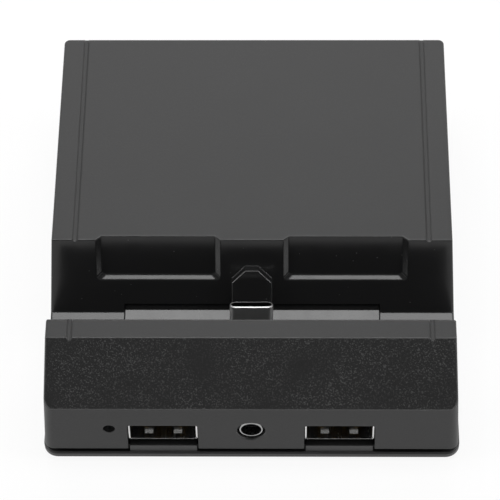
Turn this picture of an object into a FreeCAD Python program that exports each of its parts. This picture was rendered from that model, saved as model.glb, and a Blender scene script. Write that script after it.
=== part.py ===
import FreeCAD, Part
import math
import os

V = FreeCAD.Vector
os.makedirs("parts", exist_ok=True)

# Overall form
TOP_Z = 25.5
TOP_WIDTH = 76.8
BASE_DEPTH = 85.5
FOOT_PROUD = 0.6
BASE_RIM = 1.55
SHADOW_GAP = 1.1
RIM_OVERHANG = 0.3
SIDE_DRAFT = math.radians(2.7)
END_DRAFT = math.radians(2.0)
CORNER_R = 1.8
REAR_CORNER_R = 1.1
BASE_CORNER_R = 2.8
LEAST_CORNER_R = 0.6
EDGE_R = 0.4
RIM_BEVEL = 0.3
WALL = 1.8
FIT = 0.15
ROOT = 0.2

# Console slot, measured in a frame that leans with the console
LEAN = math.radians(28.0)
CONSOLE_THICK = 13.9
CONSOLE_PLAY = 0.5
PAD_PROUD = 1.7
SLOT_FROM_FRONT = 33.32
SLOT_DEPTH = 16.55
SLOT_BEVEL = 1.2
SLOT_FRONT_FILLET = 1.0
SLOT_BACK_WALL = 3.0
DECK_DEPTH = 4.6
FRONT_SLOPE = math.radians(44.5)

# Air pockets and the console pad on the slot's back wall
POCKET_X = 18.0
POCKET_HALF = 12.0
POCKET_HALF_BACK = 10.9
POCKET_FOOT = 8.5
POCKET_FOOT_BACK = 7.62
POCKET_DEEP = 0.8
POCKET_CORNER_R = 1.4
POCKET_INNER_R = 0.5
POCKET_ABOVE = 5.0
PAD_TOP = 5.48
PAD_HALF = 3.85
PAD_FLAT = 1.25
PAD_DRAFT = 0.3
PAD_ROOT = 0.5
PAD_EDGE_R = 0.25

# Trim channels on the top faces
CHANNEL_INSET = 4.5
CHANNEL_WIDE = 1.15
CHANNEL_FLOOR = 0.6
CHANNEL_DEEP = 0.35

# Connector bed and plug
BED_HALF = 24.75
BED_TOP = 13.66
BED_FRONT = 13.4
BED_SET_BACK = 0.3
BED_BEVEL = 1.5
BED_PLATE = 1.6
BED_EAR = 31.0
BED_UPSTAND = 1.5
BED_RIB_X = (-20.0, -8.0, 8.0, 20.0)
BED_RIB_HALF = 0.8
BED_RIB_TALL = 0.7
POST_X = 28.0
POST_R = 2.3
BED_SCREW_R = 0.8
BED_SCREW_HEAD_R = 1.6
BED_SCREW_HEAD = 1.1
BED_SCREW_BITE = 0.9
PLUG_WIDE = 8.25
PLUG_THICK = 2.4
PLUG_WALL = 0.25
PLUG_PLAY = 0.1
PLUG_MOUTH_SIDE = 0.4
PLUG_MOUTH_HALF = 0.55
PLUG_MOUTH_DEEP = 6.4
PIN_COUNT = 12
PIN_PITCH = 0.5
PIN_HALF = 0.12
PIN_THICK = 0.15
PIN_FROM = 1.4
PIN_TO = 6.0
PLUG_TIP = 9.43
PLUG_CORE_IN = 1.0
PLUG_BEVEL = 0.18
PLUG_BOARD_THICK = 1.2
PLUG_BOARD_HALF = 30.5
PLUG_BOARD_REAR = 2.5
PLUG_BOARD_FRONT = 11.4

# Boards and fixings
BOARD_THICK = 1.6
BOARD_GAP = 0.35
LIP_THICK = 1.2
LIP_TOP = 4.6
LAND_INSET = 1.0
SCREW_X = 32.6
SCREW_INSET = 7.75
BOSS_R = 2.8
SCREW_R = 1.0
SCREW_HOLE_R = 1.2
SCREW_HEAD_R = 2.1
SCREW_HEAD_SUNK = 0.2
SCREW_SEAT = 1.6
SCREW_TIP_Z = 10.5
SCREW_TIP_ROOM = 0.5
PILLAR_R = 3.2
FIX_FRONT_X = 25.0
FIX_FRONT_BEHIND = 10.67
FIX_REAR_X = 30.0
FIX_REAR_INSET = 20.75
FIX_PILLAR_R = 2.6
FIX_HEAD_R = 1.9
FIX_HEAD = 1.3
FIX_BITE = 0.8

# Front and rear ports
PORT_RECESS = 0.95
REAR_RECESS = 0.6
TAB_DROP = 0.75
PORT_PLAY = 0.15
DATA_X = 16.75
DATA_WIDE = 13.1
DATA_TALL = 5.72
DATA_SHEET = 0.3
DATA_LONG = 13.1
DATA_CORNER_R = 0.7
FINGER_X = 2.75
FINGER_HALF = 0.8
FINGER_ROOT = 0.1
FINGER_DIP = 0.55
FINGER_FROM = 1.2
FINGER_KNEE = 2.2
FINGER_HEEL = 3.0
FINGER_END = 6.0
TONGUE_HALF = 5.6
TONGUE_LIFT = 0.2
TONGUE_THICK = 1.8
TONGUE_BACK = 1.0
TONGUE_BLOCK = 4.5
STRIP_X = (-3.5, -1.0, 1.0, 3.5)
STRIP_HALF = 0.5
STRIP_THICK = 0.25
STRIP_BACK = 1.6
JACK_Z = 9.0
JACK_HOLE_R = 2.65
JACK_FUNNEL = 0.15
JACK_NOSE_R = 2.5
JACK_RING_R = 2.3
JACK_RECESS = 0.35
JACK_COLLAR = 0.7
JACK_RING_LONG = 2.0
JACK_RING_BEVEL = 0.12
JACK_LEAD_R = 1.95
JACK_BORE_R = 1.78
JACK_LONG = 11.6
JACK_BLOCK_HALF = 3.4
JACK_BLOCK_RISE = 3.0
JACK_BLOCK_GAP = 0.3
LIGHT_X = -26.85
LIGHT_Z = 9.7
LIGHT_R = 1.0
LIGHT_RECESS = 1.7
LIGHT_BACK = 5.5
LIGHT_CHIP_HALF = 0.8
LIGHT_CHIP_TALL = 0.7
VIDEO_X = 9.0
VIDEO_WIDE = 14.7
VIDEO_FOOT = 11.0
VIDEO_KNEE = 2.0
VIDEO_SHEET = 0.35
VIDEO_TALL = 5.2
VIDEO_LONG = 11.5
VIDEO_CORNER_R = 0.45
VIDEO_BLOCK = 3.0
VIDEO_BLADE_HALF = 5.6
VIDEO_BLADE_LOW = 0.1
VIDEO_BLADE_HIGH = 1.0
VIDEO_BLADE_BACK = 1.2
VIDEO_PIN_COUNT = 10
VIDEO_PIN_PITCH = 1.0
VIDEO_PIN_HALF = 0.2
VIDEO_PIN_THICK = 0.15
VIDEO_PIN_BACK = 1.6
POWER_X = -11.0
POWER_WIDE = 8.94
POWER_TALL = 3.26
POWER_LONG = 7.35
POWER_SHEET = 0.3
POWER_BLOCK = 1.6
POWER_BLADE_HALF = 3.35
POWER_BLADE_THICK = 0.7
POWER_BLADE_BACK = 0.7
FOOT_X = 24.0
FOOT_INSET = 7.45
FOOT_R = 4.5
FOOT_SUNK = 0.6
FOOT_BEVEL = 0.3
FOOT_PLAY = 0.1

# Parts on the main board and the flat cable
CHIP_ROW_Y = 12.5
VIDEO_CHIP_X = 7.0
VIDEO_CHIP_SIZE = 9.0
HUB_CHIP_X = -8.0
HUB_CHIP_SIZE = 7.0
POWER_CHIP_X = -13.5
POWER_CHIP_BEHIND = 12.0
POWER_CHIP_SIZE = 5.0
CHIP_TALL = 1.0
COIL_X = -22.0
COIL_Y = 16.0
COIL_PITCH = 8.0
COIL_SIZE = 5.0
COIL_TALL = 2.2
COIL_CORNER_R = 0.8
CAN_X = 20.0
CAN_PITCH = 8.0
CAN_R = 3.15
CAN_TALL = 5.4
CABLE_HALF = 5.5
CABLE_THICK = 0.25
CABLE_SOCKET_HALF = 6.5
CABLE_SOCKET_DEEP = 3.6
CABLE_SOCKET_N = 7.0
CABLE_SOCKET_TALL = 1.3
CABLE_EXIT = 0.3
CABLE_BEND = 1.4
CABLE_STEPS = 14
CABLE_LANDING = 8.67

# Derived heights and outlines
RIM_TOP = FOOT_PROUD + BASE_RIM
SHELL_FOOT = RIM_TOP + SHADOW_GAP
SHELL_RISE = TOP_Z - SHELL_FOOT
SHELL_HALF_W = TOP_WIDTH / 2 + SHELL_RISE * math.tan(SIDE_DRAFT)
SHELL_HALF_D = BASE_DEPTH / 2 - RIM_OVERHANG
CHANNEL_X = TOP_WIDTH / 2 - CHANNEL_INSET
SCREW_Y = BASE_DEPTH / 2 - SCREW_INSET
FOOT_Y = BASE_DEPTH / 2 - FOOT_INSET
SLOT_WIDTH = PAD_PROUD + CONSOLE_THICK + CONSOLE_PLAY
SLOT_EDGE_Y = SLOT_FROM_FRONT - BASE_DEPTH / 2
DECK_REAR_Y = SLOT_EDGE_Y - SLOT_WIDTH / math.cos(LEAN)
DECK_FRONT_Y = DECK_REAR_Y - DECK_DEPTH
PLUG_N = PAD_PROUD + CONSOLE_THICK / 2
SLOT_UNDER = SLOT_DEPTH + WALL
PLATE_UNDER = SLOT_UNDER + BED_PLATE
PLUG_BOARD_M = PLATE_UNDER + BED_RIB_TALL
BOARD_TOP = SHELL_FOOT + BOARD_THICK
BOARD_HALF_W = SHELL_HALF_W - WALL - FIT - LIP_THICK - BOARD_GAP
BOARD_HALF_D = SHELL_HALF_D - WALL - FIT - LIP_THICK - BOARD_GAP
DATA_Z = BOARD_TOP + DATA_TALL / 2
VIDEO_Z = BOARD_TOP + VIDEO_TALL / 2
POWER_Z = BOARD_TOP + POWER_TALL / 2
PILLAR_TOP = SHELL_FOOT + BOARD_GAP
FIX_FRONT_Y = SLOT_EDGE_Y - FIX_FRONT_BEHIND
FIX_REAR_Y = BASE_DEPTH / 2 - FIX_REAR_INSET
BOARD_SCREWS = [(-FIX_FRONT_X, FIX_FRONT_Y), (FIX_FRONT_X, FIX_FRONT_Y)]
BOARD_SCREWS += [(-FIX_REAR_X, FIX_REAR_Y), (FIX_REAR_X, FIX_REAR_Y)]
FAR = BASE_DEPTH


# Shared building blocks
def box(x0, x1, y0, y1, z0, z1):
    return Part.makeBox(x1 - x0, y1 - y0, z1 - z0, V(x0, y0, z0))


def rod(radius, start, end):
    axis = V(*end) - V(*start)
    return Part.makeCylinder(radius, axis.Length, V(*start), axis)


def rounded_wire(corners):
    legs = []
    for i, (point, radius) in enumerate(corners):
        before = (corners[i - 1][0] - point).normalize()
        after = (corners[(i + 1) % len(corners)][0] - point).normalize()
        if radius == 0:
            legs.append((point, None, point))
            continue
        half = before.getAngle(after) / 2
        bisector = (before + after).normalize()
        reach = radius / math.tan(half)
        middle = point + bisector * (radius / math.sin(half) - radius)
        legs.append((point + before * reach, middle, point + after * reach))
    edges = []
    for i, (start, middle, end) in enumerate(legs):
        if middle is not None:
            edges.append(Part.Arc(start, middle, end).toShape())
        following = legs[(i + 1) % len(legs)][0]
        if (following - end).Length > 1e-6:
            edges.append(Part.makeLine(end, following))
    return Part.Wire(edges)


def slab(corners, direction):
    return Part.Face(rounded_wire(corners)).extrude(direction)


def side_slab(points, x0, x1):
    return slab([(V(x0, y, z), 0) for y, z in points], V(x1 - x0, 0, 0))


def rectangle(half_w, half_d, front_r, rear_r, z):
    corners = [(half_w, -half_d, front_r), (half_w, half_d, rear_r)]
    corners += [(-half_w, half_d, rear_r), (-half_w, -half_d, front_r)]
    return rounded_wire([(V(x, y, z), radius) for x, y, radius in corners])


def loft(wires):
    return Part.makeLoft(wires, True, True)


def fuse(shapes):
    return shapes[0].multiFuse(shapes[1:]).removeSplitter()


def cut(shape, tools):
    for tool in tools:
        shape = shape.cut(tool)
    return shape


def export(name, shapes):
    shape = Part.makeCompound(shapes) if isinstance(shapes, list) else shapes
    shape.exportStep("parts/" + name + ".step")


# Leaning frame: m runs down the slot's back wall, n runs out of it
M_AXIS = V(0, -math.sin(LEAN), -math.cos(LEAN))
N_AXIS = V(0, -math.cos(LEAN), math.sin(LEAN))


def leaning(x, m, n):
    return V(x, SLOT_EDGE_Y, TOP_Z) + M_AXIS * m + N_AXIS * n


def leaning_box(x0, x1, m0, m1, n0, n1, foot_bevel=0, front_r=0):
    corners = [(m0, n0, 0), (m1 - foot_bevel, n0, 0)]
    if foot_bevel:
        corners.append((m1, n0 + foot_bevel, 0))
    corners += [(m1, n1, front_r), (m0, n1, 0)]
    return slab([(leaning(x0, m, n), r) for m, n, r in corners], V(x1 - x0, 0, 0))


def oval(half_w, half_t, m, n):
    corners = [(-half_w, -half_t), (half_w, -half_t), (half_w, half_t), (-half_w, half_t)]
    return rounded_wire([(leaning(x, m, n + t), half_t * 0.98) for x, t in corners])


# Moulded form shared by the cover and the base
def shell_half_w(z):
    return SHELL_HALF_W - (z - SHELL_FOOT) * math.tan(SIDE_DRAFT)


def shell_half_d(z):
    return SHELL_HALF_D - (z - SHELL_FOOT) * math.tan(END_DRAFT)


def corner_radii(inset):
    return [max(r - inset, LEAST_CORNER_R) for r in (CORNER_R, REAR_CORNER_R)]


def drafted(inset, z0, z1):
    w0, w1 = shell_half_w(z0) - inset, shell_half_w(z1) - inset
    d0, d1 = shell_half_d(z0) - inset, shell_half_d(z1) - inset
    front_view = [V(-w0, -FAR, z0), V(w0, -FAR, z0), V(w1, -FAR, z1), V(-w1, -FAR, z1)]
    block = side_slab([(-d0, z0), (d0, z0), (d1, z1), (-d1, z1)], -FAR, FAR)
    block = block.common(slab([(p, 0) for p in front_view], V(0, 2 * FAR, 0)))
    front_r, rear_r = corner_radii(inset)
    tall = (z1 - z0) / 2
    front_edges = sharp_edges(block, lambda e, p: e.BoundBox.ZLength > tall and p.y < 0)
    block = block.makeFillet(front_r, front_edges)
    rear_edges = sharp_edges(block, lambda e, p: e.BoundBox.ZLength > tall and p.y > 0)
    return block.makeFillet(rear_r, rear_edges)


def sloped_front(inset):
    top = TOP_Z - inset
    knee = DECK_FRONT_Y + inset * math.tan(FRONT_SLOPE / 2)
    foot = SHELL_FOOT - 1
    reach = knee - (top - foot) / math.tan(FRONT_SLOPE)
    return side_slab([(FAR, foot), (reach, foot), (knee, top), (FAR, top)], -FAR, FAR)


def sharp_edges(shape, wanted):
    found = []
    for edge in shape.Edges:
        middle = edge.valueAt((edge.FirstParameter + edge.LastParameter) / 2)
        faces = shape.ancestorsOfType(edge, Part.Face)
        if len(faces) != 2:
            continue
        normals = [f.normalAt(*f.Surface.parameter(middle)) for f in faces]
        if normals[0].getAngle(normals[1]) > 0.2 and wanted(edge, middle):
            found.append(edge)
    return found


# Outlines of the sockets, grown or shrunk by a margin and run along Y
def port_slab(x, z, points, radius, y0, y1):
    return slab([(V(x + px, y0, z + pz), radius) for px, pz in points], V(0, y1 - y0, 0))


def data_block(x, grow, y0, y1):
    w, t = DATA_WIDE / 2 + grow, DATA_TALL / 2 + grow
    return port_slab(x, DATA_Z, [(-w, -t), (w, -t), (w, t), (-w, t)], DATA_CORNER_R + min(grow, 0), y0, y1)


def video_block(grow, y0, y1):
    w, t, f = VIDEO_WIDE / 2 + grow, VIDEO_TALL / 2 + grow, VIDEO_FOOT / 2 + grow * 0.45
    knee = VIDEO_KNEE - VIDEO_TALL / 2 - grow * 0.4
    outline = [(-w, t), (w, t), (w, knee), (f, -t), (-f, -t), (-w, knee)]
    return port_slab(VIDEO_X, VIDEO_Z, outline, VIDEO_CORNER_R, y0, y1)


def inlet_block(grow, y0, y1):
    w, t = POWER_WIDE / 2 + grow, POWER_TALL / 2 + grow
    return port_slab(POWER_X, POWER_Z, [(-w, -t), (w, -t), (w, t), (-w, t)], t * 0.98, y0, y1)


PORTS = [
    (-DATA_X, -1, DATA_WIDE, DATA_Z, data_block(-DATA_X, PORT_PLAY, -FAR, 0)),
    (DATA_X, -1, DATA_WIDE, DATA_Z, data_block(DATA_X, PORT_PLAY, -FAR, 0)),
    (VIDEO_X, 1, VIDEO_WIDE, VIDEO_Z, video_block(PORT_PLAY, 0, FAR)),
    (POWER_X, 1, POWER_WIDE, POWER_Z, inlet_block(PORT_PLAY, 0, FAR)),
]



# Top cover: outer form, slot, air pockets, softened edges
def pocket(x):
    n0, n1 = POCKET_DEEP, -POCKET_DEEP
    half0, half1 = 2 * POCKET_HALF - POCKET_HALF_BACK, POCKET_HALF_BACK
    foot0, foot1 = 2 * POCKET_FOOT - POCKET_FOOT_BACK, POCKET_FOOT_BACK
    plan = [(x - half0, n0), (x + half0, n0), (x + half1, n1), (x - half1, n1)]
    section = [(-POCKET_ABOVE, n0), (foot0, n0), (foot1, n1), (-POCKET_ABOVE, n1)]
    block = slab([(leaning(px, -POCKET_ABOVE, n), 0) for px, n in plan], M_AXIS * FAR)
    block = block.common(slab([(leaning(-FAR, m, n), 0) for m, n in section], V(2 * FAR, 0, 0)))
    level = leaning(x, POCKET_FOOT / 2, 0)
    depth_edges = sharp_edges(block, lambda e, p: abs((p - level).dot(N_AXIS)) < POCKET_DEEP / 2)
    corners = [e for e in depth_edges if (e.CenterOfMass - level).dot(M_AXIS) > 0]
    block = block.makeFillet(POCKET_CORNER_R, corners)
    floor = leaning(x, 0, -POCKET_DEEP)
    inner_edges = sharp_edges(block, lambda e, p: abs((p - floor).dot(N_AXIS)) < 0.01)
    return block.makeFillet(POCKET_INNER_R, inner_edges)


outer = drafted(0, SHELL_FOOT, TOP_Z).common(sloped_front(0))
slot = leaning_box(-FAR, FAR, -FAR, SLOT_DEPTH, 0, SLOT_WIDTH, SLOT_BEVEL, SLOT_FRONT_FILLET)
cover = cut(outer, [slot, pocket(-POCKET_X), pocket(POCKET_X)])
above_foot = sharp_edges(cover, lambda e, p: e.BoundBox.ZMin > SHELL_FOOT + 0.5)
cover = cover.makeFillet(EDGE_R, above_foot)

# Top cover: hollow inside, with the slot's own walls left standing
inner = drafted(WALL, SHELL_FOOT, TOP_Z - WALL).common(sloped_front(WALL))
slot_walls = leaning_box(-FAR, FAR, -FAR, SLOT_UNDER, -SLOT_BACK_WALL, SLOT_WIDTH + WALL)
cover = cover.cut(inner.cut(slot_walls))


# Top cover: console pad and trim channels
def console_pad():
    rise = N_AXIS * PAD_PROUD + M_AXIS * PAD_DRAFT
    root = PAD_ROOT / PAD_PROUD
    top = PAD_TOP - PAD_DRAFT * root
    shoulder = top + PAD_HALF - PAD_FLAT
    outline = [(-PAD_FLAT, top), (PAD_FLAT, top), (PAD_HALF, shoulder), (PAD_HALF, SLOT_DEPTH + PAD_ROOT)]
    outline += [(-PAD_HALF, SLOT_DEPTH + PAD_ROOT), (-PAD_HALF, shoulder)]
    block = slab([(leaning(px, m, -PAD_ROOT), 0) for px, m in outline], rise * (1 + root))
    face = leaning(0, 0, PAD_PROUD)
    return block.makeFillet(PAD_EDGE_R, sharp_edges(block, lambda e, p: abs((p - face).dot(N_AXIS)) < 0.01))


def channel(x):
    half = CHANNEL_WIDE / 2
    floor = CHANNEL_FLOOR / 2
    slope = (half - floor) / CHANNEL_DEEP
    wide = half + slope
    low = TOP_Z - CHANNEL_DEEP
    outline = [(-wide, TOP_Z + 1), (-floor, low), (floor, low), (wide, TOP_Z + 1)]
    return slab([(V(x + px, -FAR, z), 0) for px, z in outline], V(0, 2 * FAR, 0))


cover = cover.fuse(console_pad())
cover = cut(cover, [channel(-CHANNEL_X), channel(CHANNEL_X)])

# Top cover: opening for the connector bed, screw bosses and bed posts
bed_hole = leaning_box(-BED_HALF, BED_HALF, BED_TOP, SLOT_UNDER + 2, -SLOT_BACK_WALL - 1, BED_FRONT)
cover = cover.cut(bed_hole)
bosses = []
for x in (-SCREW_X, SCREW_X):
    for y in (-SCREW_Y, SCREW_Y):
        boss = rod(BOSS_R, (x, y, PILLAR_TOP), (x, y, TOP_Z - WALL / 2)).common(outer.cut(slot_walls))
        bosses.append(boss.cut(rod(SCREW_R, (x, y, 0), (x, y, SCREW_TIP_Z + SCREW_TIP_ROOM))))
for x in (-POST_X, POST_X):
    post = rod(POST_R, leaning(x, SLOT_UNDER - ROOT, PLUG_N), leaning(x, PLUG_BOARD_M, PLUG_N))
    hole = rod(BED_SCREW_R, leaning(x, SLOT_UNDER + BED_SCREW_BITE, PLUG_N), leaning(x, FAR, PLUG_N))
    bosses.append(post.cut(hole))
cover = cover.multiFuse(bosses)

# Top cover: port cut-outs open to the foot, jack hole and light hole
wall_cuts = []
for x, side, wide, z, outline in PORTS:
    y0, y1 = sorted((side * FAR, side * (SHELL_HALF_D - 6)))
    half = wide / 2 + PORT_PLAY
    wall_cuts.append(box(x - half, x + half, y0, y1, SHELL_FOOT - 1, z))
    wall_cuts.append(outline.common(box(-FAR, FAR, y0, y1, z - 1, FAR)))
FRONT_Y = -shell_half_d(JACK_Z)
wall_cuts.append(rod(JACK_HOLE_R, (0, -FAR, JACK_Z), (0, 0, JACK_Z)))
funnel_foot = V(0, FRONT_Y - JACK_HOLE_R + JACK_FUNNEL, JACK_Z)
wall_cuts.append(Part.makeCone(2 * JACK_HOLE_R, JACK_HOLE_R, JACK_HOLE_R, funnel_foot, V(0, 1, 0)))
wall_cuts.append(rod(LIGHT_R + PORT_PLAY, (LIGHT_X, -FAR, LIGHT_Z), (LIGHT_X, 0, LIGHT_Z)))
cover = cut(cover, wall_cuts).removeSplitter()
export("top_cover", cover)

# Bottom cover: rim plate, land under the shell, locating lip, pillars and port tabs
half_w = SHELL_HALF_W + RIM_OVERHANG
half_d = BASE_DEPTH / 2
plate_outline = rectangle(half_w, half_d, BASE_CORNER_R, REAR_CORNER_R + RIM_OVERHANG, FOOT_PROUD)
plate = Part.Face(plate_outline).extrude(V(0, 0, BASE_RIM))
plate = plate.makeChamfer(RIM_BEVEL, sharp_edges(plate, lambda e, p: e.BoundBox.ZLength < 0.1))


def ring(outer_inset, inner_inset, z0, z1):
    shapes = []
    for inset in (outer_inset, inner_inset):
        outline = rectangle(SHELL_HALF_W - inset, SHELL_HALF_D - inset, *corner_radii(inset), z0)
        shapes.append(Part.Face(outline).extrude(V(0, 0, z1 - z0)))
    return shapes[0].cut(shapes[1])


lip_in = WALL + FIT + LIP_THICK
land = ring(LAND_INSET, lip_in, RIM_TOP - ROOT, SHELL_FOOT)
lip = ring(WALL + FIT, lip_in, SHELL_FOOT - ROOT, LIP_TOP)
solids = [plate, land, lip]
for x, side, wide, z, outline in PORTS:
    half = wide / 2 - PORT_PLAY
    y0, y1 = sorted((side * (SHELL_HALF_D - FIT), side * (SHELL_HALF_D - lip_in)))
    tab_top = BOARD_TOP - TAB_DROP if side < 0 else z - TAB_DROP
    solids.append(box(x - half, x + half, y0, y1, RIM_TOP - ROOT, tab_top).cut(outline))
for x in (-SCREW_X, SCREW_X):
    for y in (-SCREW_Y, SCREW_Y):
        solids.append(rod(PILLAR_R, (x, y, RIM_TOP - ROOT), (x, y, PILLAR_TOP)))
for x, y in BOARD_SCREWS:
    solids.append(rod(FIX_PILLAR_R, (x, y, RIM_TOP - ROOT), (x, y, SHELL_FOOT)))
base = fuse(solids)
base_cuts = []
for x in (-SCREW_X, SCREW_X):
    for y in (-SCREW_Y, SCREW_Y):
        base_cuts.append(rod(SCREW_HEAD_R + FIT, (x, y, 0), (x, y, FOOT_PROUD + SCREW_SEAT)))
        base_cuts.append(rod(SCREW_HOLE_R, (x, y, 0), (x, y, FAR)))
for x, y in BOARD_SCREWS:
    base_cuts.append(rod(SCREW_R, (x, y, FOOT_PROUD + FIX_BITE), (x, y, FAR)))
for x in (-FOOT_X, FOOT_X):
    for y in (-FOOT_Y, FOOT_Y):
        base_cuts.append(rod(FOOT_R + FOOT_PLAY, (x, y, 0), (x, y, FOOT_PROUD + FOOT_SUNK)))
base = cut(base, base_cuts)
export("bottom_cover", base.removeSplitter())

# Feet and screws
feet = []
case_screws = []
for x in (-SCREW_X, SCREW_X):
    for y in (-SCREW_Y, SCREW_Y):
        head = rod(SCREW_HEAD_R, (x, y, FOOT_PROUD + SCREW_HEAD_SUNK), (x, y, FOOT_PROUD + SCREW_SEAT))
        shank = rod(SCREW_R, (x, y, FOOT_PROUD + SCREW_SEAT), (x, y, SCREW_TIP_Z))
        case_screws.append(head.fuse(shank).removeSplitter())
for x in (-FOOT_X, FOOT_X):
    for y in (-FOOT_Y, FOOT_Y):
        foot = rod(FOOT_R, (x, y, 0), (x, y, FOOT_PROUD + FOOT_SUNK))
        feet.append(foot.makeChamfer(FOOT_BEVEL, sharp_edges(foot, lambda e, p: p.z < 0.01)))
export("rubber_feet", feet)
export("case_screws", case_screws)
board_screws = []
for x, y in BOARD_SCREWS:
    head = rod(FIX_HEAD_R, (x, y, BOARD_TOP), (x, y, BOARD_TOP + FIX_HEAD))
    shank = rod(SCREW_R, (x, y, FOOT_PROUD + FIX_BITE), (x, y, BOARD_TOP))
    board_screws.append(head.fuse(shank).removeSplitter())
export("board_screws", board_screws)

# Connector bed: raised bed in the opening, plate behind the walls, ears round the posts
bed_half = BED_HALF - FIT
back = -SLOT_BACK_WALL
rear = back - BED_UPSTAND
raised = leaning_box(-bed_half, bed_half, BED_TOP + FIT, PLATE_UNDER, rear, BED_FRONT - FIT)
hollow = leaning_box(-FAR, FAR, -FAR, SLOT_DEPTH, -BED_SET_BACK, FAR, BED_BEVEL)
raised = raised.cut(hollow)
plate = leaning_box(-BED_EAR, BED_EAR, SLOT_UNDER, PLATE_UNDER, rear, BED_FRONT + BED_UPSTAND)
upstand = leaning_box(-BED_EAR, BED_EAR, BED_TOP - BED_UPSTAND, PLATE_UNDER, rear, back)
ribs = []
for x in BED_RIB_X:
    x0, x1 = x - BED_RIB_HALF, x + BED_RIB_HALF
    ribs.append(leaning_box(x0, x1, PLATE_UNDER - ROOT, PLUG_BOARD_M, PLUG_BOARD_REAR, PLUG_BOARD_FRONT))
bed = fuse([raised, plate, upstand] + ribs)
hole_w, hole_t = PLUG_WIDE / 2 + PLUG_PLAY, PLUG_THICK / 2 + PLUG_PLAY
bed_holes = [loft([oval(hole_w, hole_t, m, PLUG_N) for m in (PLUG_TIP, PLUG_BOARD_M)])]
for x in (-POST_X, POST_X):
    bed_holes.append(rod(POST_R + FIT, leaning(x, BED_TOP, PLUG_N), leaning(x, FAR, PLUG_N)))
export("connector_bed", cut(bed, bed_holes).removeSplitter())

# Console plug: rounded metal shell, moulded core with the mouth, twin contact rows
plug = loft([oval(PLUG_WIDE / 2, PLUG_THICK / 2, m, PLUG_N) for m in (PLUG_TIP, PLUG_BOARD_M)])
plug_tip = sharp_edges(plug, lambda e, p: abs((p - leaning(0, PLUG_TIP, 0)).dot(M_AXIS)) < 0.01)
plug = plug.makeChamfer(PLUG_BEVEL, plug_tip)
core_half_w, core_half_t = PLUG_WIDE / 2 - PLUG_WALL, PLUG_THICK / 2 - PLUG_WALL
plug = plug.cut(loft([oval(core_half_w, core_half_t, m, PLUG_N) for m in (0, FAR)]))
export("plug_shell", plug)
core = loft([oval(core_half_w, core_half_t, m, PLUG_N) for m in (PLUG_TIP + PLUG_CORE_IN, PLUG_BOARD_M)])
mouth_half_w = core_half_w - PLUG_MOUTH_SIDE
mouth = loft([oval(mouth_half_w, PLUG_MOUTH_HALF, m, PLUG_N) for m in (0, PLUG_TIP + PLUG_MOUTH_DEEP)])
export("plug_core", core.cut(mouth))
plug_contacts = []
for i in range(PIN_COUNT):
    x = (i - (PIN_COUNT - 1) / 2) * PIN_PITCH
    for n in (PLUG_N - PLUG_MOUTH_HALF, PLUG_N + PLUG_MOUTH_HALF - PIN_THICK):
        m0, m1 = PLUG_TIP + PIN_FROM, PLUG_TIP + PIN_TO
        plug_contacts.append(leaning_box(x - PIN_HALF, x + PIN_HALF, m0, m1, n, n + PIN_THICK))
export("plug_contacts", plug_contacts)
board_end = PLUG_BOARD_M + PLUG_BOARD_THICK
half = PLUG_BOARD_HALF
plug_board = leaning_box(-half, half, PLUG_BOARD_M, board_end, PLUG_BOARD_REAR, PLUG_BOARD_FRONT)
for x in (-POST_X, POST_X):
    plug_board = plug_board.cut(rod(BED_SCREW_R, leaning(x, BED_TOP, PLUG_N), leaning(x, FAR, PLUG_N)))
export("plug_board", plug_board)
bed_screws = []
for x in (-POST_X, POST_X):
    head_end = board_end + BED_SCREW_HEAD
    head = rod(BED_SCREW_HEAD_R, leaning(x, board_end, PLUG_N), leaning(x, head_end, PLUG_N))
    shank = rod(BED_SCREW_R, leaning(x, SLOT_UNDER + BED_SCREW_BITE, PLUG_N), leaning(x, board_end, PLUG_N))
    bed_screws.append(head.fuse(shank).removeSplitter())
export("bed_screws", bed_screws)

# Main board with corner notches round the screw pillars
main_board = box(-BOARD_HALF_W, BOARD_HALF_W, -BOARD_HALF_D, BOARD_HALF_D, SHELL_FOOT, BOARD_TOP)
notch_x = SCREW_X - PILLAR_R - BOARD_GAP
notch_y = SCREW_Y - PILLAR_R - BOARD_GAP
for x in (-1, 1):
    for y in (-1, 1):
        x0, x1 = sorted((x * notch_x, x * FAR))
        y0, y1 = sorted((y * notch_y, y * FAR))
        main_board = main_board.cut(box(x0, x1, y0, y1, 0, FAR))
for x, y in BOARD_SCREWS:
    main_board = main_board.cut(rod(SCREW_R, (x, y, 0), (x, y, FAR)))
export("main_board", main_board)

# Front sockets: folded shells with spring fingers, tongues and contact strips
data_mouth = -shell_half_d(DATA_Z) + PORT_RECESS
data_back = data_mouth + DATA_LONG


def spring_finger(x, side):
    top = DATA_Z + side * (DATA_TALL / 2 - DATA_SHEET)
    bend = [(FINGER_FROM, FINGER_ROOT), (FINGER_FROM, -FINGER_ROOT), (FINGER_KNEE, -FINGER_DIP)]
    bend += [(FINGER_HEEL, -FINGER_DIP), (FINGER_END, FINGER_ROOT)]
    points = [(data_mouth + dy, top + side * dz) for dy, dz in bend]
    return side_slab(points, x - FINGER_HALF, x + FINGER_HALF)


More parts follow.
